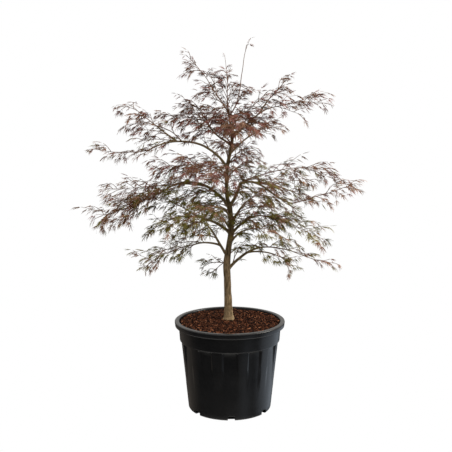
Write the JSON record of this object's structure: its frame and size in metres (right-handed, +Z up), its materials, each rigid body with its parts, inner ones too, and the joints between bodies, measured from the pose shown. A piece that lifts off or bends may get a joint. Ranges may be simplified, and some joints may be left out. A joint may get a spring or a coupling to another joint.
{
  "type": "potted japanese maple",
  "caption": "Young cut-leaf Japanese maple with a slim trunk, layered boughs and feathery purple and green foliage, in a round black nursery pot topped with bark mulch",
  "frame": {"origin": "the middle of the pot's flat underside", "axes": "+Z up along the trunk, -Y towards the tree's front, +X to the right of a viewer who faces the front"},
  "size_m": [1.323, 0.819, 1.6494],
  "materials": {
    "pot": "black moulded plastic with a soft gloss",
    "mulch": "reddish-brown bark chips over dark soil",
    "bark": "olive-brown young bark, finely furrowed",
    "foliage_olive": "thin matt leaves, dark olive green",
    "foliage_bronze": "thin matt leaves, purple-brown",
    "foliage_red": "thin matt leaves, dark maroon red"
  },
  "bodies": {
    "root": {"pot": "pot", "bark_mulch": "mulch", "trunk": "bark", "left_low": "bark", "left_bottom": "bark", "right_low": "bark", "right_bottom": "bark", "left_mid": "bark", "left_drooping": "bark", "left_upper": "bark", "left_level": "bark", "right_upper": "bark", "right_long": "bark", "right_second": "bark", "right_third": "bark", "right_mid": "bark", "left_high": "bark", "left_high_fork": "bark", "left_rising": "bark", "right_high": "bark", "right_rising": "bark", "right_rising_shoot": "bark", "front_low": "bark", "front_mid": "bark", "back_low": "bark", "back_mid": "bark", "left_foot_leaves": "foliage_olive", "left_low_leaves": "foliage_olive", "left_bottom_leaves": "foliage_olive", "right_low_leaves": "foliage_bronze", "right_bottom_leaves": "foliage_olive", "left_mid_leaves": "foliage_olive", "left_drooping_leaves": "foliage_olive", "left_upper_leaves": "foliage_bronze", "left_level_leaves": "foliage_bronze", "right_long_leaves": "foliage_bronze", "right_second_leaves": "foliage_olive", "right_third_leaves": "foliage_bronze", "right_mid_leaves": "foliage_olive", "left_far_leaves": "foliage_bronze", "left_high_fork_leaves": "foliage_red", "left_rising_leaves": "foliage_red", "right_high_leaves": "foliage_red", "right_rising_leaves": "foliage_red", "right_rising_shoot_leaves": "foliage_red", "left_red_leaves": "foliage_red", "top_left_leaves": "foliage_red", "top_middle_leaves": "foliage_red", "top_tip_leaves": "foliage_red", "top_right_leaves": "foliage_red", "front_low_leaves": "foliage_olive", "front_mid_leaves": "foliage_bronze", "front_high_leaves": "foliage_red", "front_top_leaves": "foliage_red", "back_low_leaves": "foliage_olive", "back_mid_leaves": "foliage_olive", "back_high_leaves": "foliage_bronze", "back_upper_leaves": "foliage_red", "back_top_leaves": "foliage_red"}
  },
  "joints": []
}
